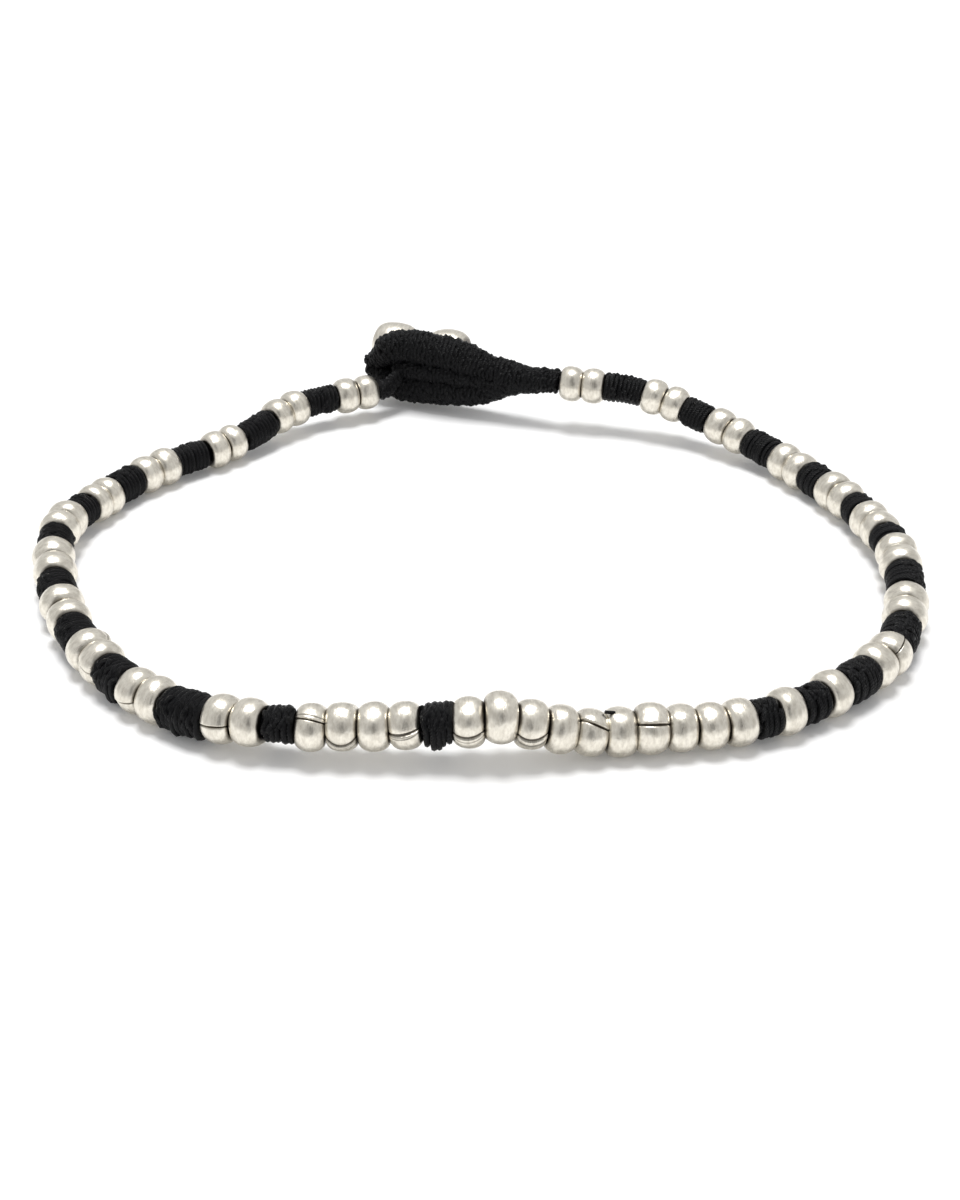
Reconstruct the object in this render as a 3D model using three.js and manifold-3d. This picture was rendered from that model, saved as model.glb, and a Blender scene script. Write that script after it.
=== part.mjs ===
// A beaded bracelet, lying on a flat surface: silver barrel beads on a black knotted cord,
// closed by a knotted loop that goes over a pair of larger beads.
//
// Millimetres, +Z up. The origin is the middle of the footprint, on the surface that it lies on.

import * as THREE from 'three';
import { mergeVertices } from 'three/addons/utils/BufferGeometryUtils.js';
import ManifoldModule from 'manifold-3d';

const wasm = await ManifoldModule();
wasm.setup();

// ---------------------------------------------------------------- driving dimensions

const GAP = 0.3; // what neighbouring pieces keep between them

const BEAD = { radius: 1.53, bore: 0.72, sides: 12 };
const CORE_RADIUS = BEAD.bore - GAP; // the cord where it runs inside a bead
const CORD_SIDES = 8;

// One bead from end to end, as shares of its half length and of its radius.
const BARREL = [
  { along: -0.78, girth: 0.88 },
  { along: -0.32, girth: 0.99 },
  { along: 0.32, girth: 0.99 },
  { along: 0.78, girth: 0.88 },
];
const NECK_GIRTH = 0.68; // the open ends, and where two touching beads meet

// A wound knot: ridges of cord side by side.
const KNOT = { radius: 1.34, valley: 0.86, ridgePitch: 0.85, endGap: GAP };

// Each run of touching beads, how long each of them is, and the knot that follows the run.
// Girth is a knot's share of the usual radius.
const RUNS = [
  { beads: 2, each: 1.9, knot: 3.1, girth: 0.92 },
  { beads: 2, each: 1.9, knot: 3.7, girth: 0.95 },
  { beads: 2, each: 1.75, knot: 3, girth: 0.95 },
  { beads: 2, each: 1.9, knot: 2.8, girth: 1 },
  { beads: 2, each: 1.6, knot: 2, girth: 0.97 },
  { beads: 2, each: 1.7, knot: 2.2, girth: 1 },
  { beads: 2, each: 2.05, knot: 2.8, girth: 1.03 },
  { beads: 2, each: 1.8, knot: 2.8, girth: 1 },
  { beads: 2, each: 1.8, knot: 2.5, girth: 1.05 },
  { beads: 2, each: 1.8, knot: 3.35, girth: 1.08 },
  { beads: 2, each: 1.9, knot: 1.9, girth: 0.9 },
  { beads: 4, each: 1.9, knot: 1.9, girth: 0.98 },
  { beads: 10, each: 1.85, knot: 1.5, girth: 1 },
  { beads: 1, each: 1.75, knot: 2, girth: 0.97 },
  { beads: 1, each: 1.75, knot: 2.85, girth: 1.03 },
  { beads: 2, each: 1.9, knot: 3.05, girth: 1 },
  { beads: 2, each: 1.85, knot: 3.05, girth: 1.02 },
  { beads: 2, each: 1.85, knot: 1.9, girth: 1 },
  { beads: 2, each: 1.8, knot: 1.9, girth: 1 },
  { beads: 2, each: 1.85, knot: 2.25, girth: 1.03 },
  { beads: 2, each: 1.9, knot: 3.2, girth: 0.97 },
  { beads: 2, each: 1.95, knot: 2.63, girth: 0.95 },
  { beads: 2, each: 1.9, knot: 3.53, girth: 0.95 },
  { beads: 2, each: 1.9, knot: 0, girth: 1 },
];

// The line of the string, from the closure round the front and back to the closure.
// Lift is how far the beads there hang clear of the surface.
const ROUTE = [
  { x: -9, y: 23, lift: 0.85 },
  { x: -15.5, y: 19.5, lift: 0.85 },
  { x: -20, y: 14, lift: 0.15 },
  { x: -26, y: 8.5, lift: 0.01 },
  { x: -29.3, y: 3.2, lift: 0.05 },
  { x: -31, y: -3.5, lift: 0.5 },
  { x: -28.5, y: -13, lift: 0.05 },
  { x: -24, y: -20.5, lift: 0 },
  { x: -18.5, y: -25.3, lift: 0.045 },
  { x: -12.9, y: -27.8, lift: 0.6 },
  { x: -6.45, y: -28.4, lift: 0.8 },
  { x: 1, y: -28.6, lift: 1.2 },
  { x: 8, y: -27.9, lift: 0.28 },
  { x: 16.5, y: -26.75, lift: 0.03 },
  { x: 23.2, y: -23.05, lift: 0.01 },
  { x: 28.3, y: -17, lift: 0.05 },
  { x: 30.5, y: -7.5, lift: 0.5 },
  { x: 29.3, y: 1.5, lift: 0.15 },
  { x: 25, y: 10.3, lift: 0.15 },
  { x: 19.5, y: 16, lift: 1.2 },
  { x: 14, y: 19, lift: 2.4 },
  { x: 7, y: 20.7, lift: 2.6 },
];

// The closure stands on edge, in an upright plane that leaves the end of the string.
// Its tables give places in that plane: out along it, and up from the string's end.
const CLOSURE = { heading: 160, sides: 10 };
const NECK = [
  { out: 0.55, up: 0.1, radius: 1 },
  { out: 1.4, up: 0.08, radius: 1.05 },
  { out: 2.7, up: -0.05, radius: 1.12 },
  { out: 4.2, up: -0.22, radius: 1.15 },
  { out: 5.6, up: -0.4, radius: 0.9 },
];
const UPPER_STRAND = [
  { out: 1.8, up: 0, radius: 0.9 },
  { out: 4, up: -0.05, radius: 1.27 },
  { out: 5.4, up: 0.2, radius: 1.27 },
  { out: 6.8, up: 0.35, radius: 1.3 },
  { out: 8.3, up: 0.85, radius: 1.45 },
  { out: 10.2, up: 1.25, radius: 1.55 },
  { out: 11.9, up: 1.4, radius: 1.55 },
  { out: 13.6, up: 1.6, radius: 1.4 },
  { out: 15.3, up: 1.4, radius: 1.4 },
  { out: 16.3, up: 0.85, radius: 1.35 },
  { out: 17.2, up: 0, radius: 1 },
  { out: 18.5, up: -0.75, radius: 0.6 },
];
const LOWER_STRAND = [
  { out: 1.8, up: -0.2, radius: 0.9 },
  { out: 4, up: -0.4, radius: 1.1 },
  { out: 5.4, up: -0.8, radius: 1.15 },
  { out: 6.6, up: -1.35, radius: 1.25 },
  { out: 8.3, up: -1.75, radius: 1.4 },
  { out: 10.2, up: -1.9, radius: 1.5 },
  { out: 11.9, up: -2.05, radius: 1.5 },
  { out: 13.6, up: -2.35, radius: 1.3 },
  { out: 15.3, up: -2.28, radius: 1.3 },
  { out: 16.5, up: -1.9, radius: 1.35 },
  { out: 17.3, up: -1.4, radius: 1 },
  { out: 18.5, up: -0.8, radius: 0.6 },
];

// The two closure beads lie behind the loop, on a bar of cord that the stem holds.
const CLOSURE_BEAD = { radius: 2.2, length: 3.6, bore: 0.72, sides: 14 };
const BAR = { middle: 14.6, up: -0.2, back: 3.75, spacing: 5.2, radius: 0.4, proud: 0.1 };

// The stem leaves the first run of beads, goes through the loop and ends in the bar.
const STEM_START = [
  { clear: 0.45, lift: 0, radius: 1 },
  { clear: 1.1, lift: 0.1, radius: 0.8 },
];
const STEM_END = [
  { out: 14.9, up: -0.85, back: -1.5, radius: 0.38 },
  { out: BAR.middle, up: -0.43, back: 0, radius: 0.28 },
  { out: BAR.middle, up: BAR.up, back: BAR.back, radius: 0.28 },
];

// Where the middle of the footprint lies, counted as the places in the tables above are.
const FOOTPRINT_MIDDLE = { x: -0.24, y: 1.1115 };

// ---------------------------------------------------------------- materials

const satinSilver = () => new THREE.MeshStandardMaterial({ color: 0xcdc8bf, metalness: 1, roughness: 0.34 });
const waxedCord = () => new THREE.MeshStandardMaterial({ color: 0x17171a, metalness: 0, roughness: 0.72 });

// ---------------------------------------------------------------- helpers

const UP = new THREE.Vector3(0, 0, 1);

// The height of a bead's middle when its lowest facet lies on the surface.
const BEAD_REST = BEAD.radius * Math.cos(Math.PI / BEAD.sides);

function smoothCurve(points) {
  const curve = new THREE.CatmullRomCurve3(points, false, 'catmullrom', 0.5);
  curve.arcLengthDivisions = 1600;
  return curve;
}

// Keeps the shared corners only, and no triangle without area.
function weld(geometry) {
  geometry.deleteAttribute('normal');
  geometry.deleteAttribute('uv');
  const merged = mergeVertices(geometry, 1e-5);
  const index = merged.getIndex().array;
  const kept = [];
  for (let i = 0; i < index.length; i += 3) {
    const [a, b, c] = [index[i], index[i + 1], index[i + 2]];
    if (a !== b && b !== c && c !== a) kept.push(a, b, c);
  }
  merged.setIndex(kept);
  return merged;
}

// Turns a round shape that stands along +Y so that it follows a curve: its Y becomes the
// way along, and its Z points to the side that `upright` does.
function bendAlong(geometry, curve, upright, start = 0) {
  const length = curve.getLength();
  const position = geometry.getAttribute('position');
  const side = new THREE.Vector3();
  const lift = new THREE.Vector3();
  for (let i = 0; i < position.count; i += 1) {
    const along = start + position.getY(i);
    const share = THREE.MathUtils.clamp(along / length, 0, 1);
    const forward = curve.getTangentAt(share);
    side.crossVectors(forward, upright).normalize();
    lift.crossVectors(side, forward);
    const point = curve.getPointAt(share);
    point.addScaledVector(forward, along - share * length);
    point.addScaledVector(side, position.getX(i));
    point.addScaledVector(lift, position.getZ(i));
    position.setXYZ(i, point.x, point.y, point.z);
  }
  return geometry;
}

// A round solid of the given profile, with a facet, not an edge, at its lowest place.
function turned(profile, sides) {
  const points = profile.map(([radius, along]) => new THREE.Vector2(radius, along));
  return weld(new THREE.LatheGeometry(points, sides, Math.PI / sides, Math.PI * 2));
}

function toManifold(geometry) {
  const mesh = new wasm.Mesh({
    numProp: 3,
    vertProperties: new Float32Array(geometry.getAttribute('position').array),
    triVerts: new Uint32Array(geometry.getIndex().array),
  });
  return new wasm.Manifold(mesh);
}

function joined(geometries) {
  const solid = geometries.map(toManifold).reduce((sum, next) => sum.add(next));
  const mesh = solid.getMesh();
  const result = new THREE.BufferGeometry();
  result.setAttribute('position', new THREE.BufferAttribute(new Float32Array(mesh.vertProperties), 3));
  result.setIndex(Array.from(mesh.triVerts));
  return result;
}

function piece(name, geometry, material) {
  const mesh = new THREE.Mesh(geometry, material);
  mesh.name = name;
  return mesh;
}

// ---------------------------------------------------------------- the string

const route = smoothCurve(ROUTE.map(({ x, y, lift }) => new THREE.Vector3(x, y, BEAD_REST + lift)));

// Where each run and each knot starts, measured along the string.
const layout = [];
let reach = 0;
for (const run of RUNS) {
  const length = run.beads * run.each;
  layout.push({ ...run, start: reach, end: reach + length });
  reach += length + run.knot;
}
const stringLength = reach;

// One run of touching beads, drilled from end to end.
function beadRun(run) {
  const half = run.each / 2;
  const outside = [[BEAD.radius * NECK_GIRTH, 0]];
  const inside = [[BEAD.bore, 0]];
  for (let i = 0; i < run.beads; i += 1) {
    const middle = (i + 0.5) * run.each;
    for (const { along, girth } of BARREL) outside.push([BEAD.radius * girth, middle + along * half]);
    outside.push([BEAD.radius * NECK_GIRTH, middle + half]);
    inside.push([BEAD.bore, middle + half]);
  }
  const profile = [...outside, ...inside.reverse(), outside[0]];
  return bendAlong(turned(profile, BEAD.sides), route, UP, run.start);
}

// The ridges of one knot, between the faces of the beads at its two ends.
function knotProfile(run) {
  const start = run.end + KNOT.endGap;
  const end = run.end + run.knot - KNOT.endGap;
  const ridges = Math.max(2, Math.round((end - start) / KNOT.ridgePitch));
  const pitch = (end - start) / ridges;
  const crest = KNOT.radius * run.girth;
  const valley = crest * KNOT.valley;
  const profile = [[CORE_RADIUS, start], [valley, start]];
  for (let i = 0; i < ridges; i += 1) {
    profile.push([crest, start + (i + 0.5) * pitch], [valley, start + (i + 1) * pitch]);
  }
  profile.push([CORE_RADIUS, end]);
  return profile;
}

// The whole cord with all its knots, from one end of the string to the other.
function knottedCord() {
  const profile = [[0, 0], [CORE_RADIUS, 0]];
  for (const run of layout) {
    for (let i = 1; i < run.beads; i += 1) profile.push([CORE_RADIUS, run.start + i * run.each]);
    if (run.knot > 0) profile.push(...knotProfile(run));
  }
  profile.push([CORE_RADIUS, stringLength], [0, stringLength]);
  return bendAlong(turned(profile, CORD_SIDES), route, UP);
}

// ---------------------------------------------------------------- the closure

const stringEnd = route.getPointAt(stringLength / route.getLength());
const heading = THREE.MathUtils.degToRad(CLOSURE.heading);
const outward = new THREE.Vector3(Math.cos(heading), Math.sin(heading), 0);
const behind = new THREE.Vector3().crossVectors(outward, UP); // away from the wrist

function closurePoint({ out, up, back = 0 }) {
  return stringEnd.clone().addScaledVector(outward, out).addScaledVector(UP, up).addScaledVector(behind, back);
}

// A round cord through the given places, whose thickness changes from place to place.
function cordThrough(points, radii, steps) {
  const curve = smoothCurve(points);
  const length = curve.getLength();
  const last = radii.length - 1;
  const profile = [[0, 0]];
  for (let i = 0; i <= steps; i += 1) {
    const place = curve.getUtoTmapping(i / steps) * last;
    const before = Math.min(Math.floor(place), last - 1);
    const radius = THREE.MathUtils.lerp(radii[before], radii[before + 1], place - before);
    profile.push([radius, (i / steps) * length]);
  }
  profile.push([0, length]);
  return bendAlong(turned(profile, CLOSURE.sides), curve, behind);
}

function closureLoop() {
  const strand = (places, steps) => cordThrough(places.map(closurePoint), places.map((p) => p.radius), steps);
  return joined([strand(NECK, 6), strand(UPPER_STRAND, 15), strand(LOWER_STRAND, 15)]);
}

function closureBead(out) {
  const { radius, length, bore, sides } = CLOSURE_BEAD;
  const half = length / 2;
  const outside = [[radius * NECK_GIRTH, -half]];
  for (const { along, girth } of BARREL) outside.push([radius * girth, along * half]);
  outside.push([radius * NECK_GIRTH, half]);
  const profile = [...outside, [bore, half], [bore, -half], outside[0]];
  const middle = closurePoint({ out, up: BAR.up, back: BAR.back });
  const axis = new THREE.LineCurve3(middle, middle.clone().add(outward));
  return bendAlong(turned(profile, sides), axis, UP);
}

function closureCord() {
  const stringStart = route.getPointAt(0);
  const leaving = route.getTangentAt(0).negate();
  const nearString = ({ clear, lift }) => stringStart.clone().addScaledVector(leaving, clear).addScaledVector(UP, lift);
  const stemLine = [...STEM_START.map(nearString), ...STEM_END.map(closurePoint)];
  const stem = cordThrough(stemLine, [...STEM_START, ...STEM_END].map((p) => p.radius), 12);
  const halfBar = (BAR.spacing + CLOSURE_BEAD.length) / 2 + BAR.proud;
  const barLine = [-halfBar, halfBar].map((shift) => closurePoint({ ...BAR, out: BAR.middle + shift }));
  return joined([stem, cordThrough(barLine, [BAR.radius, BAR.radius], 2)]);
}

// ---------------------------------------------------------------- the part

const bracelet = new THREE.Group();
bracelet.position.set(-FOOTPRINT_MIDDLE.x, -FOOTPRINT_MIDDLE.y, 0);
bracelet.add(piece('knotted_cord', knottedCord(), waxedCord()));
layout.forEach((run, i) => {
  bracelet.add(piece(`bead_run_${String(i + 1).padStart(2, '0')}`, beadRun(run), satinSilver()));
});
bracelet.add(piece('closure_loop', closureLoop(), waxedCord()));
bracelet.add(piece('closure_cord', closureCord(), waxedCord()));
bracelet.add(piece('closure_bead_left', closureBead(BAR.middle + BAR.spacing / 2), satinSilver()));
bracelet.add(piece('closure_bead_right', closureBead(BAR.middle - BAR.spacing / 2), satinSilver()));

export default bracelet;
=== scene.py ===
"""The looks of a beaded bracelet that lies on a pale floor.

Silver barrel beads, each rolled from a strip whose ends meet in a seam, sit on a black waxed
cord. Between them the cord is wound into knots. The closure is a wound loop in front of two
larger beads. Lengths here are millimetres until they become vertices.
"""

import math
import random

import bpy
import numpy as np
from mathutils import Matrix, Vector


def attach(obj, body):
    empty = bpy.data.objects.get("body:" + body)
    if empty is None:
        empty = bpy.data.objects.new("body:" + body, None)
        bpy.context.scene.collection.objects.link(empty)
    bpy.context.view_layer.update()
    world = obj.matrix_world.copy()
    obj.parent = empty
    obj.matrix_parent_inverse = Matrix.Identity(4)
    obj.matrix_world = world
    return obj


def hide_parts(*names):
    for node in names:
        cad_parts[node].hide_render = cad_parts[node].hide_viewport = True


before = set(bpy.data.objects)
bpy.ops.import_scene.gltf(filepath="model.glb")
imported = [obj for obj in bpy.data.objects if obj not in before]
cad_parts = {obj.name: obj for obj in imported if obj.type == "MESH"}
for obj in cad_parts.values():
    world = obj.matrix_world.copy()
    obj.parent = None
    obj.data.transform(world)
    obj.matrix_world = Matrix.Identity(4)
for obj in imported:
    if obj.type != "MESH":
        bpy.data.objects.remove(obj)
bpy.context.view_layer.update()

MM = 0.001
UP = np.array([0.0, 0.0, 1.0])

# ---------------------------------------------------------------- sizes shared with the solids

FOOTPRINT_MIDDLE = (-0.24, 1.1115, 0.0)

BEAD_RADIUS = 1.53
BEAD_SIDES = 12  # of the solids: their lowest facet rests on the floor
BEAD_REST = BEAD_RADIUS * math.cos(math.pi / BEAD_SIDES)

# Each run of touching beads: how many, how long each is, and the knot that follows it. Girth is
# a knot's share of the usual radius.
RUNS = [
    (2, 1.9, 3.1, 0.92),
    (2, 1.9, 3.7, 0.95),
    (2, 1.75, 3, 0.95),
    (2, 1.9, 2.8, 1),
    (2, 1.6, 2, 0.97),
    (2, 1.7, 2.2, 1),
    (2, 2.05, 2.8, 1.03),
    (2, 1.8, 2.8, 1),
    (2, 1.8, 2.5, 1.05),
    (2, 1.8, 3.35, 1.08),
    (2, 1.9, 1.9, 0.9),
    (4, 1.9, 1.9, 0.98),
    (10, 1.85, 1.5, 1),
    (1, 1.75, 2, 0.97),
    (1, 1.75, 2.85, 1.03),
    (2, 1.9, 3.05, 1),
    (2, 1.85, 3.05, 1.02),
    (2, 1.85, 1.9, 1),
    (2, 1.8, 1.9, 1),
    (2, 1.85, 2.25, 1.03),
    (2, 1.9, 3.2, 0.97),
    (2, 1.95, 2.63, 0.95),
    (2, 1.9, 3.53, 0.95),
    (2, 1.9, 0, 1),
]

# x, y, and how far the beads there hang clear of the floor
ROUTE = [
    (-9, 23, 0.85),
    (-15.5, 19.5, 0.85),
    (-20, 14, 0.15),
    (-26, 8.5, 0.01),
    (-29.3, 3.2, 0.05),
    (-31, -3.5, 0.5),
    (-28.5, -13, 0.05),
    (-24, -20.5, 0),
    (-18.5, -25.3, 0.045),
    (-12.9, -27.8, 0.6),
    (-6.45, -28.4, 0.8),
    (1, -28.6, 1.2),
    (8, -27.9, 0.28),
    (16.5, -26.75, 0.03),
    (23.2, -23.05, 0.01),
    (28.3, -17, 0.05),
    (30.5, -7.5, 0.5),
    (29.3, 1.5, 0.15),
    (25, 10.3, 0.15),
    (19.5, 16, 1.2),
    (14, 19, 2.4),
    (7, 20.7, 2.6),
]

# The closure's tables: out from the string's end, up from it, and the strand's radius.
CLOSURE_HEADING = math.radians(160)
NECK = [
    (0.55, 0.1, 1),
    (1.4, 0.08, 1.05),
    (2.7, -0.05, 1.12),
    (4.2, -0.22, 1.15),
    (5.6, -0.4, 0.9),
]
UPPER_STRAND = [
    (1.8, 0, 0.9),
    (4, -0.05, 1.27),
    (5.4, 0.2, 1.27),
    (6.8, 0.35, 1.3),
    (8.3, 0.85, 1.45),
    (10.2, 1.25, 1.55),
    (11.9, 1.4, 1.55),
    (13.6, 1.6, 1.4),
    (15.3, 1.4, 1.4),
    (16.3, 0.85, 1.35),
    (17.2, 0, 1),
    (18.5, -0.75, 0.6),
]
LOWER_STRAND = [
    (1.8, -0.2, 0.9),
    (4, -0.4, 1.1),
    (5.4, -0.8, 1.15),
    (6.6, -1.35, 1.25),
    (8.3, -1.75, 1.4),
    (10.2, -1.9, 1.5),
    (11.9, -2.05, 1.5),
    (13.6, -2.35, 1.3),
    (15.3, -2.28, 1.3),
    (16.5, -1.9, 1.35),
    (17.3, -1.4, 1),
    (18.5, -0.8, 0.6),
]
CLOSURE_BEAD_RADIUS = 2.2
CLOSURE_BEAD_LENGTH = 3.6
BAR = dict(middle=14.6, up=-0.2, back=3.75, spacing=5.2, radius=0.4, proud=0.1)
STEM_NEAR_STRING = [(0.45, 0, 1.0), (1.1, 0.1, 0.8)]  # clear of the string, lift, radius
STEM_NEAR_BAR = [(14.9, -0.85, -1.5, 0.38), (14.6, -0.43, 0, 0.28), (14.6, -0.2, 3.75, 0.28)]

# ---------------------------------------------------------------- the looks' own sizes

END_GIRTH = 0.56  # a bead's open end, as a share of its radius
CORE_RADIUS = 0.55
THREAD_RADIUS = 0.2
WIND_PITCH = 0.36

# How single beads sit off the cord's line: how far up, how far their axis leans, in degrees,
# their share of the usual radius, and how far they have slid along the cord.
LOOSE_BEADS = {
    (8, 1): (0.08, -5, 1.0, -0.26),
    (8, 2): (0.08, 5, 1.0, 0.24),
    (9, 1): (0.08, -2, 1.0, -0.03),
    (9, 2): (0.08, 2, 1.0, 0.03),
    (11, 1): (0.04, -3, 1.02, 0),
    (11, 2): (0.04, 0, 0.99, 0),
    (12, 1): (-0.03, -6, 0.98, 0),
    (12, 2): (0.05, 0, 0.98, 0),
    (12, 3): (0.04, 0, 0.98, 0),
    (12, 4): (0.04, 3, 0.98, 0),
    (13, 1): (0.1, 0, 1.02, 0),
    (13, 2): (0.44, 0, 1.05, 0),
    (13, 3): (0.06, 0, 1.0, 0),
    (13, 4): (-0.08, -2, 1.0, 0),
    (13, 5): (-0.18, -4, 0.98, 0),
    (13, 6): (-0.22, 2, 1.02, 0),
    (13, 7): (0.06, 0, 1.04, 0),
    (13, 8): (-0.02, 0, 0.96, 0),
    (13, 9): (0.0, 0, 0.96, 0),
    (13, 10): (0.02, 2, 0.98, 0),
}

# Seams that show. Turn is where the seam's middle lies, in degrees up from the outer side; bow is
# how far its ends curl up from there, and slant how far one end leads, in degrees. Slit is the
# seam's half width in degrees, and lip how far the upper strip end stands proud, in millimetres;
# below nought it is the lower end that does. Fold is how far below the seam there is a crease.
SEAM_COLUMNS = ("turn", "bow", "slant", "slit", "lip", "fold")
SEAMS = {
    (9, 2): (14, 0, -16, 1.8, 0.05, 0),
    (10, 1): (-4, 0, 4, 1.8, 0.05, 0),
    (11, 1): (15, 0, 3, 2.2, 0.05, 0),
    (12, 1): (54, 1, -5, 1.8, 0.07, -9),
    (12, 2): (-20, 22, 0, 3.4, -0.07, 10),
    (12, 4): (12, 6, 4, 3.4, -0.07, 11),
    (13, 1): (-3, 10, 3, 2.9, -0.06, 14),
    (13, 3): (-5, 12, 6, 3.0, -0.06, 17),
    (13, 5): (53, 5, -13, 2.6, 0.08, 0),
    (13, 7): (45, 3, 0, 3.2, 0.05, 0),
    (16, 2): (56, 0, 8, 2.2, 0.04, 0),
}
# Where the other seams lie: on the far side of the bead, which is the inner side in front and
# the outer side behind, or below it where the string runs towards the viewer.
FAR_SEAM_TURNS = {"front": (145, 285), "behind": (-60, 40), "beside": (235, 305)}

# Where each knot's row of crossings runs, in degrees up from the outer side, if not by chance.
CROSSING_TURNS = {9: 20, 10: 8, 11: 30, 12: 25, 13: 55, 14: 52, 15: 42, 16: 50}
# Where a knot bulges: knot, share along it, turn in degrees, height, and half width along.
BULGES = [
    (9, 0.15, -48, 0.16, 0.3),
    (9, 0.75, -52, 0.2, 0.35),
    (10, 0.08, -35, 0.18, 0.25),
    (10, 0.42, -52, 0.26, 0.3),
    (10, 0.75, -50, 0.24, 0.22),
    (10, 0.97, -38, 0.3, 0.2),
    (12, 0.42, -56, 0.34, 0.6),
    (12, 0.98, -22, 0.24, 0.25),
    (12, 0.95, 112, 0.14, 0.25),
    (11, 0.75, 100, 0.1, 0.3),
    (16, 0.3, -40, 0.14, 0.4),
    (7, 0.6, 120, 0.14, 0.4),
]
BULGE_SPREAD = 26.0  # degrees, the half width of a bulge round the knot
KNOT_RADIUS = 1.3
KNOT_TAPER = 0.1  # the share of its radius that a knot loses towards its ends
KNOT_RISE = {11: 0.1, 12: 0.14}  # how far a knot sits above the cord's line
# Where a loose end of the cord peeks out between two beads: run, bead before it, turn.
PEEKING_END = (13, 5, 88)
PEEK_REACH = 1.3  # from the cord's line
PEEK_SINK = 0.06  # how much lower its far end lies
PEEK_START = -0.22  # along the cord, from the bead's end
PEEK_LENGTH = 0.66
PEEK_RADIUS = 0.11

# The thread's unevenness: along the cord, outwards, and in its own thickness.
WOBBLE_ALONG = 0.08
WOBBLE_OUT = 0.06
WOBBLE_THICK = 0.1
TURN_STEPS = 22  # places in one turn of thread
CORE_STEP = 0.25  # between two rings of the bundle under the windings
CORE_SIDES = 20
KNOT_CORE_DEPTH = 1.5 * THREAD_RADIUS  # of the bundle, under the outside of the windings
STRAND_CORE_DEPTH = 1.4 * THREAD_RADIUS
STEM_CORE_DEPTH = 0.1
CROSSING_RADIUS = 0.18
CROSSING_SINK = 0.4  # how deep a crossing's ends lie under the winding's outside
CROSSING_RISE = 0.32  # how far its middle comes up from there
KNOT_REACH = 0.1  # how far past its space a knot goes, over the round ends of the beads

# The closure's knots, and the turns that tie its two strands together over the groove between
# them: out, up and radius.
CLOSURE_KNOT_PITCH = 1.35
EDGE_KNOTS = 0.08  # how proud the knots along an edge are
FILL = dict(middle=12.9, half=2.2, height=0.35)  # along a strand, and how far into the loop
FRONT_ROWS = (-158, -136, -114, -92, -70, -48, -26)  # rows of crossings on a strand's front
NECK_START = -0.5  # along its line, which puts it at the face of the last bead
TIES_BACK = -0.55  # towards the wrist
TIES = [
    (4.6, -0.4, 0.5),
    (7, -0.5, 0.8),
    (8.5, -0.47, 0.88),
    (10.2, -0.38, 0.92),
    (12, -0.38, 0.92),
    (13.2, -0.42, 0.9),
    (14.6, -0.45, 0.85),
    (15.7, -0.5, 0.6),
]
STEM_SWELL = 1.6  # the wound stem's radius near the bar, as a share of the plain one's
STEM_WOUND = (-0.45, 2.0)  # where its windings start, and how far before its end they stop
STEM_CROSSINGS = (-90, 20)

# Colours, as linear red, green and blue.
WORN_SILVER = (0.645, 0.605, 0.525)
BRIGHT_SILVER = (0.84, 0.8, 0.71)
# Painted shade, with some tarnish, for the beads' seams, creases, ends and bores
DARK_TARNISH_AND_SHADE = (0.06, 0.048, 0.036)
BLACK_CORD = (0.0005, 0.0005, 0.001)
RUBBED_CORD = (0.004, 0.004, 0.005)
PALE_FLOOR = (0.88, 0.88, 0.88, 1)
WHITE = (1, 1, 1, 1)

# The studio, in metres and watts, and the camera, in millimetres.
FLOOR_HALF = 3.0
FLOOR_GLOW = 0.06
KEY_PLACE = (-0.03, 0.09, 0.59)
KEY_SIZE = (0.24, 0.26)
KEY_POWER = 2.8
CAMERA_PLACE = (0.32, -101.73, 54.67)
CAMERA_PITCH = 30.7  # degrees down
FRONT_DIM = math.radians(CAMERA_PITCH)  # how high over the floor the dim front lies
ROOM_BACK = 0.7
ROOM_FRONT = 0.62
TRIPOD_SPREAD = (0.26, 0.6)  # sines of its half angles across and up
TRIPOD_SHADE = 0.1

# ---------------------------------------------------------------- lines through space


class Line:
    """A smooth line through chosen places, measured along its length."""

    STEPS = 120  # between two places

    def __init__(self, places):
        places = np.array(places, float)
        last = len(places) - 1
        padded = np.vstack([2 * places[0] - places[1], places, 2 * places[-1] - places[-2]])
        self.share = np.linspace(0, last, last * self.STEPS + 1)
        first = np.minimum(self.share.astype(int), last - 1)
        t = (self.share - first)[:, None]
        p0, p1, p2, p3 = (padded[first + k] for k in range(4))
        out, into = (p2 - p0) / 2, (p3 - p1) / 2
        self.points = (
            (2 * t**3 - 3 * t**2 + 1) * p1
            + (t**3 - 2 * t**2 + t) * out
            + (-2 * t**3 + 3 * t**2) * p2
            + (t**3 - t**2) * into
        )
        steps = np.linalg.norm(np.diff(self.points, axis=0), axis=1)
        self.reach = np.concatenate([[0], np.cumsum(steps)])
        self.length = self.reach[-1]
        self.forwards = unit(np.gradient(self.points, self.reach, axis=0))

    def at(self, along):
        """Places and directions; past its ends the line goes on straight."""
        along = np.atleast_1d(np.asarray(along, float))
        inside = np.clip(along, 0, self.length)
        point = np.stack([np.interp(inside, self.reach, c) for c in self.points.T], -1)
        forward = unit(np.stack([np.interp(inside, self.reach, c) for c in self.forwards.T], -1))
        return point + forward * (along - inside)[:, None], forward

    def table_value(self, along, values):
        """A value given at each of the line's places, anywhere along it."""
        share = np.interp(along, self.reach, self.share)
        return np.interp(share, np.arange(len(values)), values)


def unit(vectors):
    return vectors / np.linalg.norm(vectors, axis=-1, keepdims=True)


def bent(local, line, upright=UP):
    """Turns shapes that follow +Y into shapes that follow the line."""
    flat = local.reshape(-1, 3)
    point, forward = line.at(flat[:, 1])
    side = unit(np.cross(forward, upright))
    lift = np.cross(side, forward)
    placed = point + side * flat[:, :1] + lift * flat[:, 2:]
    return placed.reshape(local.shape)


route = Line([(x, y, BEAD_REST + lift) for x, y, lift in ROUTE])
STRING_LENGTH = sum(beads * each + knot for beads, each, knot, _ in RUNS)

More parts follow.
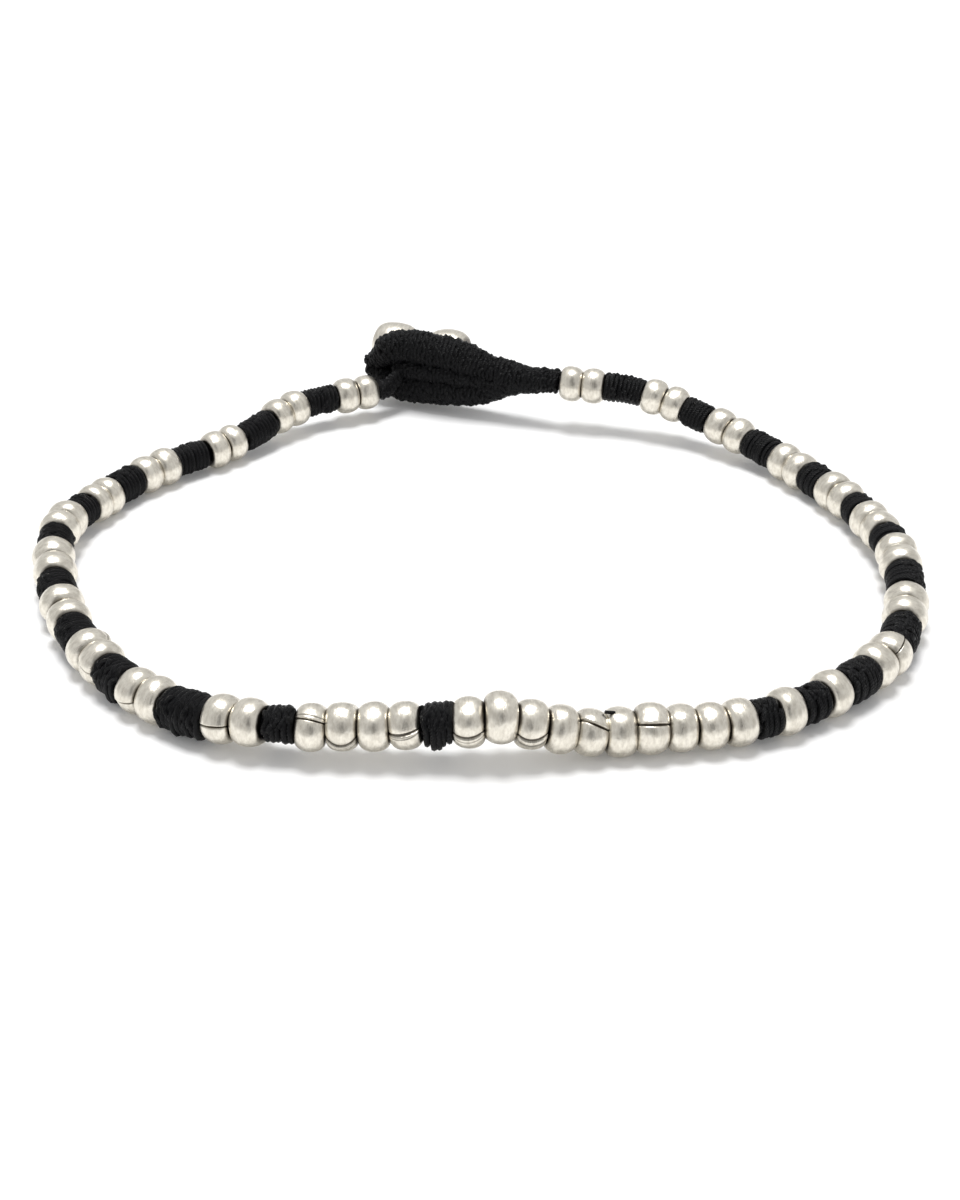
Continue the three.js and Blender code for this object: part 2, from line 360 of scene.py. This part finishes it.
# ---------------------------------------------------------------- meshes


class Build:
    """Gathers closed grids of vertices and makes one mesh of them."""

    def __init__(self):
        self.places, self.grain, self.tarnish, self.faces = [], [], [], []
        self.count = 0

    def grid(self, places, grain, close_rows=False, tarnish=None):
        """Rows of places, each row a closed ring. Open rows get a cap at both ends."""
        rows, columns = places.shape[:2]
        index = self.count + np.arange(rows * columns).reshape(rows, columns)
        beyond = np.roll(index, -1, axis=1)
        upper = np.roll(index, -1, axis=0) if close_rows else index[1:]
        lower = index if close_rows else index[:-1]
        upper_beyond = np.roll(beyond, -1, axis=0) if close_rows else beyond[1:]
        lower_beyond = beyond if close_rows else beyond[:-1]
        quads = np.stack([lower, lower_beyond, upper_beyond, upper], -1).reshape(-1, 4)
        self.faces.extend(quads.tolist())
        if not close_rows:
            self.faces.append(index[0][::-1].tolist())
            self.faces.append(index[-1].tolist())
        self.places.append(places.reshape(-1, 3))
        self.grain.append(grain.reshape(-1, 3))
        # each vertex's share of painted shade and tarnish
        self.tarnish.append(np.zeros(rows * columns) if tarnish is None else tarnish.reshape(-1))
        self.count += rows * columns

    def finish(self, name, material, nodes):
        """One object that stands for the given CAD nodes."""
        places = (np.concatenate(self.places) - FOOTPRINT_MIDDLE) * MM
        mesh = bpy.data.meshes.new(name)
        mesh.from_pydata(places.tolist(), [], self.faces)
        grain = mesh.attributes.new("grain", "FLOAT_VECTOR", "POINT")
        grain.data.foreach_set("vector", np.concatenate(self.grain).astype(np.float32).ravel())
        tarnish = mesh.attributes.new("tarnish", "FLOAT", "POINT")
        tarnish.data.foreach_set("value", np.concatenate(self.tarnish).astype(np.float32))
        mesh.polygons.foreach_set("use_smooth", [True] * len(mesh.polygons))
        mesh.materials.append(material)
        mesh.update()
        piece = bpy.data.objects.new(name, mesh)
        bpy.context.scene.collection.objects.link(piece)
        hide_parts(*nodes)
        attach(piece, "root")


def tube(build, path, radii, sides, outward):
    """A strand along a path of places. Outward gives, for each place, a way across the strand."""
    forward = unit(np.gradient(path, axis=0))
    across = unit(outward - forward * np.sum(outward * forward, axis=1, keepdims=True))
    over = np.cross(forward, across)
    turn = np.linspace(0, 2 * math.pi, sides, endpoint=False)
    cosine, sine = np.cos(turn)[None, :, None], np.sin(turn)[None, :, None]
    ring = across[:, None] * cosine - over[:, None] * sine
    radii = np.broadcast_to(radii, len(path))
    places = path[:, None] + ring * radii[:, None, None]
    steps = np.concatenate([[0], np.cumsum(np.linalg.norm(np.diff(path, axis=0), axis=1))])
    grain = np.zeros(places.shape)
    grain[..., 0] = steps[:, None]
    grain[..., 1] = np.cos(turn)
    grain[..., 2] = np.sin(turn)
    build.grid(places[:, ::-1], grain[:, ::-1])


# ---------------------------------------------------------------- materials


class Nodes:
    """Short calls for making a material's nodes."""

    def __init__(self, name):
        self.material = bpy.data.materials.new(name)
        self.material.use_nodes = True
        self.tree = self.material.node_tree
        self.shader = self.tree.nodes["Principled BSDF"]

    def add(self, kind, **settings):
        node = self.tree.nodes.new(kind)
        for key, value in settings.items():
            setattr(node, key, value)
        return node

    def link(self, source, target):
        self.tree.links.new(source, target)

    def grain(self):
        return self.add("ShaderNodeAttribute", attribute_name="grain").outputs["Vector"]

    def stretched(self, vector, scale):
        node = self.add("ShaderNodeVectorMath", operation="MULTIPLY")
        self.link(vector, node.inputs[0])
        node.inputs[1].default_value = scale
        return node.outputs["Vector"]

    def noise(self, vector, scale, detail=2, roughness=0.5):
        node = self.add("ShaderNodeTexNoise")
        self.link(vector, node.inputs["Vector"])
        node.inputs["Scale"].default_value = scale
        node.inputs["Detail"].default_value = detail
        node.inputs["Roughness"].default_value = roughness
        return node.outputs["Fac"]

    def ranged(self, value, low, high, to_low, to_high):
        node = self.add("ShaderNodeMapRange")
        self.link(value, node.inputs["Value"])
        for key, number in (
            ("From Min", low),
            ("From Max", high),
            ("To Min", to_low),
            ("To Max", to_high),
        ):
            node.inputs[key].default_value = number
        return node.outputs["Result"]

    def mixed(self, share, first, second):
        node = self.add("ShaderNodeMix", data_type="RGBA")
        self.link(share, node.inputs["Factor"])
        for socket, colour in ((node.inputs["A"], first), (node.inputs["B"], second)):
            if isinstance(colour, tuple):
                socket.default_value = (*colour, 1)
            else:
                self.link(colour, socket)
        return node.outputs["Result"]

    def bump(self, height, strength, distance, normal=None):
        node = self.add("ShaderNodeBump")
        node.inputs["Strength"].default_value = strength
        node.inputs["Distance"].default_value = distance
        self.link(height, node.inputs["Height"])
        if normal is not None:
            self.link(normal, node.inputs["Normal"])
        return node.outputs["Normal"]


def satin_silver():
    """Warm light silver with faint scratches round each bead and small dents; its seams, creases,
    ends and bore are painted darker, partly tarnish and partly painted shade.
    """
    n = Nodes("satin_silver")
    grain = n.grain()
    scratches = n.noise(n.stretched(grain, (0.8, 0.8, 14)), 1.5, detail=4, roughness=0.65)
    cloud = n.noise(grain, 1.1, detail=4, roughness=0.6)
    worn = n.noise(n.stretched(grain, (1, 1, 1.4)), 3.2, detail=3, roughness=0.6)
    pits = n.noise(grain, 7.0)
    # Tarnish and painted shade: a share for each vertex that darkens seams, creases, bead ends and
    # bores
    tarnish = n.add("ShaderNodeAttribute", attribute_name="tarnish").outputs["Fac"]
    clean = n.mixed(n.ranged(worn, 0.35, 0.65, 0, 1), WORN_SILVER, BRIGHT_SILVER)
    n.link(n.mixed(tarnish, clean, DARK_TARNISH_AND_SHADE), n.shader.inputs["Base Color"])
    n.link(n.ranged(scratches, 0.3, 0.7, 0.26, 0.38), n.shader.inputs["Roughness"])
    n.shader.inputs["Metallic"].default_value = 1
    dents = n.bump(worn, 0.6, 0.03 * MM, n.bump(cloud, 0.6, 0.09 * MM))
    pitted = n.bump(n.ranged(pits, 0.62, 0.8, 1.0, 0.0), 0.35, 0.015 * MM, dents)
    n.link(n.bump(scratches, 0.3, 0.006 * MM, pitted), n.shader.inputs["Normal"])
    return n.material


def waxed_cord():
    """Black waxed thread: laid plies, a faint sheen and a little worn grey in random patches."""
    n = Nodes("waxed_cord")
    grain = n.grain()
    plies = n.add("ShaderNodeTexWave", bands_direction="DIAGONAL")
    n.link(n.stretched(grain, (3.2, 1.4, 1.4)), plies.inputs["Vector"])
    plies.inputs["Scale"].default_value = 1.0
    plies.inputs["Distortion"].default_value = 1.5
    fuzz = n.noise(n.stretched(grain, (5, 3, 3)), 2.2, detail=4, roughness=0.7)
    n.link(n.mixed(fuzz, BLACK_CORD, RUBBED_CORD), n.shader.inputs["Base Color"])
    n.link(n.ranged(fuzz, 0.3, 0.7, 0.3, 0.5), n.shader.inputs["Roughness"])
    n.shader.inputs["Specular IOR Level"].default_value = 0.19
    laid = n.bump(plies.outputs["Fac"], 0.7, 0.06 * MM)
    n.link(n.bump(fuzz, 0.6, 0.05 * MM, laid), n.shader.inputs["Normal"])
    return n.material


SILVER = satin_silver()
CORD = waxed_cord()

# ---------------------------------------------------------------- beads

OUTER_ROWS = np.radians(np.linspace(-90, 90, 19))
# The rolled rim and the bore: share of the half length, share of the radius.
RIM = [(0.985, 0.52), (0.93, 0.49), (0.8, 0.47)]
# Columns round the bead, in degrees from the seam, close together near it.
SEAM_SIDE = np.concatenate([np.arange(0.7, 16, 0.9), np.linspace(17, 168, 20)])
SEAM_TURNS = np.concatenate([-SEAM_SIDE[::-1], [0], SEAM_SIDE, [180]])
LIP_SPREAD = 20.0  # degrees over which a strip end sinks back into the round
SEAM_DEPTH = 0.17
FOLD_DEPTH = 0.035
FOLD_SPREAD = 1.6  # degrees
# Painted shade, with some tarnish: the ends of a bead, where it meets its neighbours, are painted
# darker.
END_TARNISH_AND_SHADE = 0.87  # from this share of the half length outwards, a bead gets darker


def bead_shape(radius, half, seam, rng):
    """A barrel about +Y, with the seam where the ends of its strip meet."""
    fullness = rng.uniform(0.72, 0.95)
    along = [*np.sin(OUTER_ROWS)]
    girth = [*(END_GIRTH + (1 - END_GIRTH) * np.abs(np.cos(OUTER_ROWS)) ** fullness)]
    for a, g in RIM:
        along.append(a)
        girth.append(g)
    for a, g in reversed(RIM):
        along.append(-a)
        girth.append(g)
    along, girth = np.array(along)[:, None], np.array(girth)[:, None]
    outside = (np.arange(len(along)) < len(OUTER_ROWS)).astype(float)[:, None]

    turn = SEAM_TURNS[None, :]
    slit = seam["slit"]
    at_seam = np.exp(-(((turn + 0.5 * slit) / slit) ** 2))
    at_fold = np.exp(-(((turn + seam["fold"]) / FOLD_SPREAD) ** 2)) * (seam["fold"] != 0)
    raised = np.where(turn >= 0, 1.0, -0.5) * np.exp(-np.abs(turn) / LIP_SPREAD)
    shift = seam["lip"] * raised - SEAM_DEPTH * at_seam - FOLD_DEPTH * at_fold
    # Painted shade, with some tarnish: the seam's slit, the crease below it and the ends of the
    # bead, where it meets its neighbours, get darker; the rim and bore are wholly dark.
    at_end = np.clip((np.abs(along) - END_TARNISH_AND_SHADE) / (1 - END_TARNISH_AND_SHADE), 0, 1)
    tarnish = np.clip(0.95 * at_seam + 0.6 * at_fold + at_end, 0, 1)
    tarnish = np.maximum(tarnish * outside, 1 - outside)

    angle = np.radians(turn + seam["turn"] + seam["bow"] * along**2 + seam["slant"] * along)
    uneven = sum(
        rng.uniform(0.004, 0.012)
        * np.cos(waves * angle + rng.uniform(0, 6.3) + rng.uniform(-2, 2) * along)
        for waves in (2, 3, 4, 5)
    )
    r = radius * (girth + uneven * outside) + shift * outside
    places = np.stack([r * np.cos(angle), along * half + 0 * r, r * np.sin(angle)], -1)
    grain = np.stack([np.cos(angle) + 0 * r, np.sin(angle) + 0 * r, along * half + 0 * r], -1)
    grain += np.array([rng.uniform(0, 50) for _ in range(3)])
    return places[:, ::-1], grain[:, ::-1], tarnish[:, ::-1]


def seam_of(key, middle, rng):
    """A bead's seam: the one in the table, or one on the side that the viewer doesn't see."""
    if key in SEAMS:
        return dict(zip(SEAM_COLUMNS, SEAMS[key]))
    along_x = route.at(middle)[1][0, 0]
    where = "front" if along_x > 0.35 else "behind" if along_x < -0.35 else "beside"
    return dict(
        turn=rng.uniform(*FAR_SEAM_TURNS[where]),
        bow=rng.uniform(-12, 12),
        slant=rng.uniform(-8, 8),
        slit=rng.uniform(1.2, 2.2),
        lip=rng.uniform(0.02, 0.1),
        fold=0,
    )


def tipped(places, yaw, pitch):
    """Tips a bead on its cord: yaw swings its axis sideways, and pitch raises its far end."""
    yaw, pitch = math.radians(yaw), math.radians(pitch)
    x, y, z = places[..., 0], places[..., 1], places[..., 2]
    x, y = x * math.cos(yaw) + y * math.sin(yaw), y * math.cos(yaw) - x * math.sin(yaw)
    y, z = y * math.cos(pitch) - z * math.sin(pitch), y * math.sin(pitch) + z * math.cos(pitch)
    return np.stack([x, y, z], -1)


def set_at(places, line, along, upright=UP):
    """Sets a stiff shape, made about the origin, at one place of a line."""
    point, forward = line.at(along)
    side = unit(np.cross(forward, upright))
    lift = np.cross(side, forward)
    return point[0] + places @ np.stack([side[0], forward[0], lift[0]])


def bead_runs():
    start = 0.0
    for number, (beads, each, knot, _) in enumerate(RUNS, 1):
        build = Build()
        for bead in range(1, beads + 1):
            rng = random.Random(1000 * number + bead)
            middle = start + (bead - 0.5) * each
            seam = seam_of((number, bead), middle, rng)
            usual = (rng.uniform(0, 0.04), rng.uniform(-2, 2), rng.uniform(0.98, 1.01), 0)
            up, lean, size, slide = LOOSE_BEADS.get((number, bead), usual)
            half = each / 2 * max(size, 1) ** 1.5 * rng.uniform(1.0, 1.04)
            places, grain, tarnish = bead_shape(BEAD_RADIUS * size, half, seam, rng)
            places = tipped(places, rng.uniform(-2, 2), lean)
            places[..., 0] += rng.uniform(-0.05, 0.05)
            places[..., 2] += up
            placed = set_at(places, route, middle + slide)
            build.grid(placed, grain, close_rows=True, tarnish=tarnish)
        node = f"bead_run_{number:02d}"
        build.finish(f"{node}_silver", SILVER, [node])
        start += beads * each + knot


bead_runs()

# ---------------------------------------------------------------- wound cord


def winding(build, line, start, end, surface, seed, crossings, upright=UP):
    """Thread wound round a line between two places, with rows of crossings over its turns.

    The surface is a function of the place along the line and the turn round it, and gives the
    outside of the winding.
    """
    rng = random.Random(seed)
    first, last = start + THREAD_RADIUS, end - THREAD_RADIUS
    turns = max(2, round((last - first) / WIND_PITCH))
    step = (last - first) / turns
    sweep = np.linspace(0, turns, turns * TURN_STEPS + 1)
    wobble = np.array([rng.uniform(-1, 1) for _ in range(2 * turns + 2)])
    uneven = np.interp(2 * sweep, np.arange(2 * turns + 2), wobble)
    along = first + step * sweep + WOBBLE_ALONG * uneven
    turn = rng.uniform(0, 2 * math.pi) + 2 * math.pi * sweep
    r = surface(along, turn) - THREAD_RADIUS + WOBBLE_OUT * uneven
    local = np.stack([r * np.cos(turn), along, r * np.sin(turn)], -1)
    away = np.stack([np.cos(turn), 0 * turn, np.sin(turn)], -1)
    path = bent(local, line, upright)
    thick = THREAD_RADIUS * (1 + WOBBLE_THICK * uneven)
    tube(build, path, thick, 7, bent(local + away, line, upright) - path)

    for crossing in crossings:
        for i in range(turns):
            middle = math.radians(crossing + 4 * (i % 6) + rng.uniform(-12, 12))
            lean = rng.uniform(0.5, 1.1) * rng.choice((-1, 1))
            share = np.linspace(-1, 1, 7)
            over = np.clip(first + (i + 0.5 + 0.6 * lean * share) * step, first, last)
            round_it = middle + math.radians(rng.uniform(14, 24)) * share
            swell = np.sqrt(np.clip(1 - share**2, 0, 1))
            rise = CROSSING_RISE * swell * rng.uniform(0.75, 1.15)
            r = surface(over, round_it) - CROSSING_SINK + rise
            local = np.stack([r * np.cos(round_it), over, r * np.sin(round_it)], -1)
            away = np.stack([np.cos(round_it), 0 * share, np.sin(round_it)], -1)
            path = bent(local, line, upright)
            tube(build, path, CROSSING_RADIUS, 6, bent(local + away, line, upright) - path)


def core(build, line, start, end, surface, upright=UP):
    """The plain bundle of cord under the windings."""
    along = np.linspace(start, end, max(2, round((end - start) / CORE_STEP)) + 1)[:, None]
    turn = np.linspace(0, 2 * math.pi, CORE_SIDES, endpoint=False)[None, :]
    r = surface(along, turn) + 0 * along * turn
    local = np.stack([r * np.cos(turn), along + 0 * r, r * np.sin(turn)], -1)
    grain = np.stack([along + 0 * r, np.cos(turn) + 0 * r, np.sin(turn) + 0 * r], -1)
    build.grid(bent(local, line, upright)[:, ::-1], grain[:, ::-1])


def knot_surface(number, start, length, outside):
    """The outside of a knot, with its bulges."""
    bulges = [bulge[1:] for bulge in BULGES if bulge[0] == number]
    rise = KNOT_RISE.get(number, 0)

    def surface(along, turn):
        from_middle = np.clip(np.abs(2 * (along - start) / length - 1), 0, 1)
        r = outside * (1 - KNOT_TAPER * from_middle**4) + rise * np.sin(turn)
        for share, at_turn, height, width in bulges:
            apart = np.degrees(np.angle(np.exp(1j * (turn - math.radians(at_turn)))))
            near = ((along - start - share * length) / width) ** 4 + (apart / BULGE_SPREAD) ** 2
            r = r + height * np.exp(-near)
        return r

    return surface


def knotted_cord():
    build = Build()
    core(build, route, 0.1, STRING_LENGTH - 0.1, lambda s, t: CORE_RADIUS)
    next_run = 0.0
    for number, (beads, each, knot, girth) in enumerate(RUNS, 1):
        start = next_run + beads * each
        next_run = start + knot
        if PEEKING_END[0] == number:
            peek(build, start - (beads - PEEKING_END[1]) * each, PEEKING_END[2])
        if not knot:
            continue
        rng = random.Random(700 + number)
        surface = knot_surface(number, start, knot, KNOT_RADIUS * girth)
        shown = CROSSING_TURNS.get(number, rng.uniform(10, 70))
        crossings = (shown, shown + rng.uniform(28, 40), rng.uniform(150, 300))
        first, last = start - KNOT_REACH, start + knot + KNOT_REACH
        winding(build, route, first, last, surface, 70 + number, crossings)
        core(build, route, start, start + knot, lambda s, t: surface(s, t) - KNOT_CORE_DEPTH)
    build.finish("knotted_cord_wound", CORD, ["knotted_cord"])


def peek(build, along, turn):
    """The stub of a thread that comes up between two beads."""
    angle = math.radians(turn)
    share = np.linspace(0, 1, 9)
    r = PEEK_REACH - PEEK_SINK * share
    beside = along + PEEK_START + PEEK_LENGTH * share
    local = np.stack([r * np.cos(angle), beside, r * np.sin(angle)], -1)
    path = bent(local, route)
    tube(build, path, PEEK_RADIUS, 8, bent(local * np.array([2, 1, 2]), route) - path)


knotted_cord()

# ---------------------------------------------------------------- the closure

string_end = route.at(STRING_LENGTH)[0][0]
outward = np.array([math.cos(CLOSURE_HEADING), math.sin(CLOSURE_HEADING), 0.0])
behind = np.cross(outward, UP)


def closure_place(out, up, back=0.0):
    return string_end + outward * out + UP * up + behind * back


def braided(line, radii, edge, filled):
    """The outside of a strand whose knots stand out in a row along one edge.

    Where the loop is wide, thicker knots on the other edge fill it.
    """

    def surface(along, turn):
        across = np.cos(turn - math.radians(edge))
        knots = 0.5 + 0.5 * np.cos(2 * math.pi * along / CLOSURE_KNOT_PITCH)
        at_edge = EDGE_KNOTS * np.clip(across, 0, 1) ** 6 * knots
        near = np.exp(-(((along - FILL["middle"]) / FILL["half"]) ** 4))
        ridged = 0.85 + 0.15 * knots
        inside = filled * FILL["height"] * np.clip(-across, 0, 1) ** 2 * near * ridged
        return line.table_value(along, radii) + at_edge + inside

    return surface


def wound_strand(build, table, seed, edge, start=0.0, filled=1, back=0.0):
    """One strand of the closure. Edge and the rows of crossings count from straight down."""
    line = Line([closure_place(out, up, back) for out, up, _ in table])
    surface = braided(line, [radius for _, _, radius in table], edge, filled)
    crossings = (edge - 12, edge + 10, *FRONT_ROWS)

    def inner(along, turn):
        return surface(along, turn) - STRAND_CORE_DEPTH

    core(build, line, start + 0.1, line.length - 0.1, inner, behind)
    winding(build, line, start, line.length, surface, seed, crossings, behind)


def closure_loop():
    build = Build()
    wound_strand(build, NECK, 31, 180, start=NECK_START, filled=0)
    wound_strand(build, UPPER_STRAND, 32, 180)
    wound_strand(build, LOWER_STRAND, 33, 0)
    wound_strand(build, TIES, 34, 0, filled=0, back=TIES_BACK)
    build.finish("closure_loop_wound", CORD, ["closure_loop"])


def closure_cord():
    start, forward = route.at(0.0)
    leaving = -forward[0]
    places = [start[0] + leaving * clear + UP * lift for clear, lift, _ in STEM_NEAR_STRING]
    places += [closure_place(out, up, back) for out, up, back, _ in STEM_NEAR_BAR]
    radii = [row[-1] for row in STEM_NEAR_STRING]
    radii += [STEM_SWELL * row[-1] for row in STEM_NEAR_BAR]
    build = Build()
    stem = Line(places)

    def outside(along, turn):
        return stem.table_value(along, radii) + 0 * turn

    core(build, stem, 0.0, stem.length, lambda s, t: outside(s, t) - STEM_CORE_DEPTH, behind)
    first, last = STEM_WOUND[0], stem.length - STEM_WOUND[1]
    winding(build, stem, first, last, outside, 41, STEM_CROSSINGS, behind)
    half = (BAR["spacing"] + CLOSURE_BEAD_LENGTH) / 2 + BAR["proud"]
    ends = [closure_place(BAR["middle"] + shift, BAR["up"], BAR["back"]) for shift in (-half, half)]
    bar = Line(ends)
    core(build, bar, 0, bar.length, lambda s, t: BAR["radius"], behind)
    build.finish("closure_cord_wound", CORD, ["closure_cord"])


def closure_beads():
    for name, sign, seed in (("closure_bead_left", 1, 91), ("closure_bead_right", -1, 92)):
        rng = random.Random(seed)
        seam = dict(turn=rng.uniform(190, 260), bow=8, slant=4, slit=1.4, lip=0.05, fold=0)
        places, grain, tarnish = bead_shape(CLOSURE_BEAD_RADIUS, CLOSURE_BEAD_LENGTH / 2, seam, rng)
        middle = closure_place(BAR["middle"] + sign * BAR["spacing"] / 2, BAR["up"], BAR["back"])
        axis = Line([middle, middle + outward])
        build = Build()
        build.grid(set_at(places, axis, 0.0), grain, close_rows=True, tarnish=tarnish)
        build.finish(f"{name}_silver", SILVER, [name])


closure_loop()
closure_cord()
closure_beads()

# ---------------------------------------------------------------- floor, light and camera


def floor():
    """A white sheet, lit a little from below."""
    n = Nodes("pale_floor")
    n.shader.inputs["Base Color"].default_value = PALE_FLOOR
    n.shader.inputs["Roughness"].default_value = 0.9
    n.shader.inputs["Specular IOR Level"].default_value = 0.1
    n.shader.inputs["Emission Color"].default_value = WHITE
    n.shader.inputs["Emission Strength"].default_value = FLOOR_GLOW
    half = FLOOR_HALF
    mesh = bpy.data.meshes.new("floor")
    corners = [(-half, -half, 0), (half, -half, 0), (half, half, 0), (-half, half, 0)]
    mesh.from_pydata(corners, [], [(0, 1, 2, 3)])
    mesh.materials.append(n.material)
    plane = bpy.data.objects.new("floor", mesh)
    bpy.context.scene.collection.objects.link(plane)


def softbox(name, place, size, power):
    """A soft oval light that faces the bracelet."""
    light = bpy.data.lights.new(name, "AREA")
    light.shape = "ELLIPSE"
    light.size, light.size_y = size
    light.energy = power
    lamp = bpy.data.objects.new(name, light)
    bpy.context.scene.collection.objects.link(lamp)
    lamp.location = place
    lamp.rotation_euler = (-Vector(place)).to_track_quat("-Z", "Y").to_euler()


def studio():
    """A pale room, a little dimmer in front, where a dark tripod stands behind the lens."""
    world = bpy.data.worlds.new("studio")
    world.use_nodes = True
    tree = world.node_tree
    background = tree.nodes["Background"]
    background.inputs["Color"].default_value = WHITE
    coordinates = tree.nodes.new("ShaderNodeTexCoord").outputs["Generated"]

    def share(axis):
        node = tree.nodes.new("ShaderNodeVectorMath")
        node.operation = "DOT_PRODUCT"
        node.inputs[1].default_value = axis
        tree.links.new(coordinates, node.inputs[0])
        return node.outputs["Value"]

    def math_node(operation, first, second):
        node = tree.nodes.new("ShaderNodeMath")
        node.operation = operation
        for socket, value in zip(node.inputs, (first, second)):
            if isinstance(value, (int, float)):
                socket.default_value = value
            else:
                tree.links.new(value, socket)
        return node.outputs["Value"]

    def map_range(value, low, high, to_low, to_high, interpolation="LINEAR"):
        node = tree.nodes.new("ShaderNodeMapRange")
        node.interpolation_type = interpolation
        tree.links.new(value, node.inputs["Value"])
        keys = ("From Min", "From Max", "To Min", "To Max")
        for key, number in zip(keys, (low, high, to_low, to_high)):
            node.inputs[key].default_value = number
        return node.outputs["Result"]

    front = (0, -math.cos(FRONT_DIM), math.sin(FRONT_DIM))
    over = (0, math.sin(FRONT_DIM), math.cos(FRONT_DIM))
    room = map_range(share(front), 0.2, 0.9, ROOM_BACK, ROOM_FRONT)
    across = math_node("POWER", math_node("DIVIDE", share((1, 0, 0)), TRIPOD_SPREAD[0]), 2)
    upwards = math_node("POWER", math_node("DIVIDE", share(over), TRIPOD_SPREAD[1]), 2)
    behind_lens = math_node("GREATER_THAN", share(front), 0)
    before_lens = math_node("SUBTRACT", 1, behind_lens)
    apart = math_node("ADD", math_node("ADD", across, upwards), before_lens)
    shade = map_range(apart, 0.1, 1, TRIPOD_SHADE, 1, "SMOOTHSTEP")
    tree.links.new(math_node("MULTIPLY", room, shade), background.inputs["Strength"])
    bpy.context.scene.world = world


def camera():
    data = bpy.data.cameras.new("camera")
    data.lens = 45
    data.sensor_width = 36
    data.clip_start, data.clip_end = 0.005, 20
    eye = bpy.data.objects.new("camera", data)
    bpy.context.scene.collection.objects.link(eye)
    eye.location = (np.array(CAMERA_PLACE) - FOOTPRINT_MIDDLE) * MM
    eye.rotation_euler = (math.radians(90 - CAMERA_PITCH), 0, 0)
    bpy.context.scene.camera = eye


floor()
softbox("key", KEY_PLACE, KEY_SIZE, KEY_POWER)
studio()
camera()
bpy.context.scene.view_settings.view_transform = "Standard"
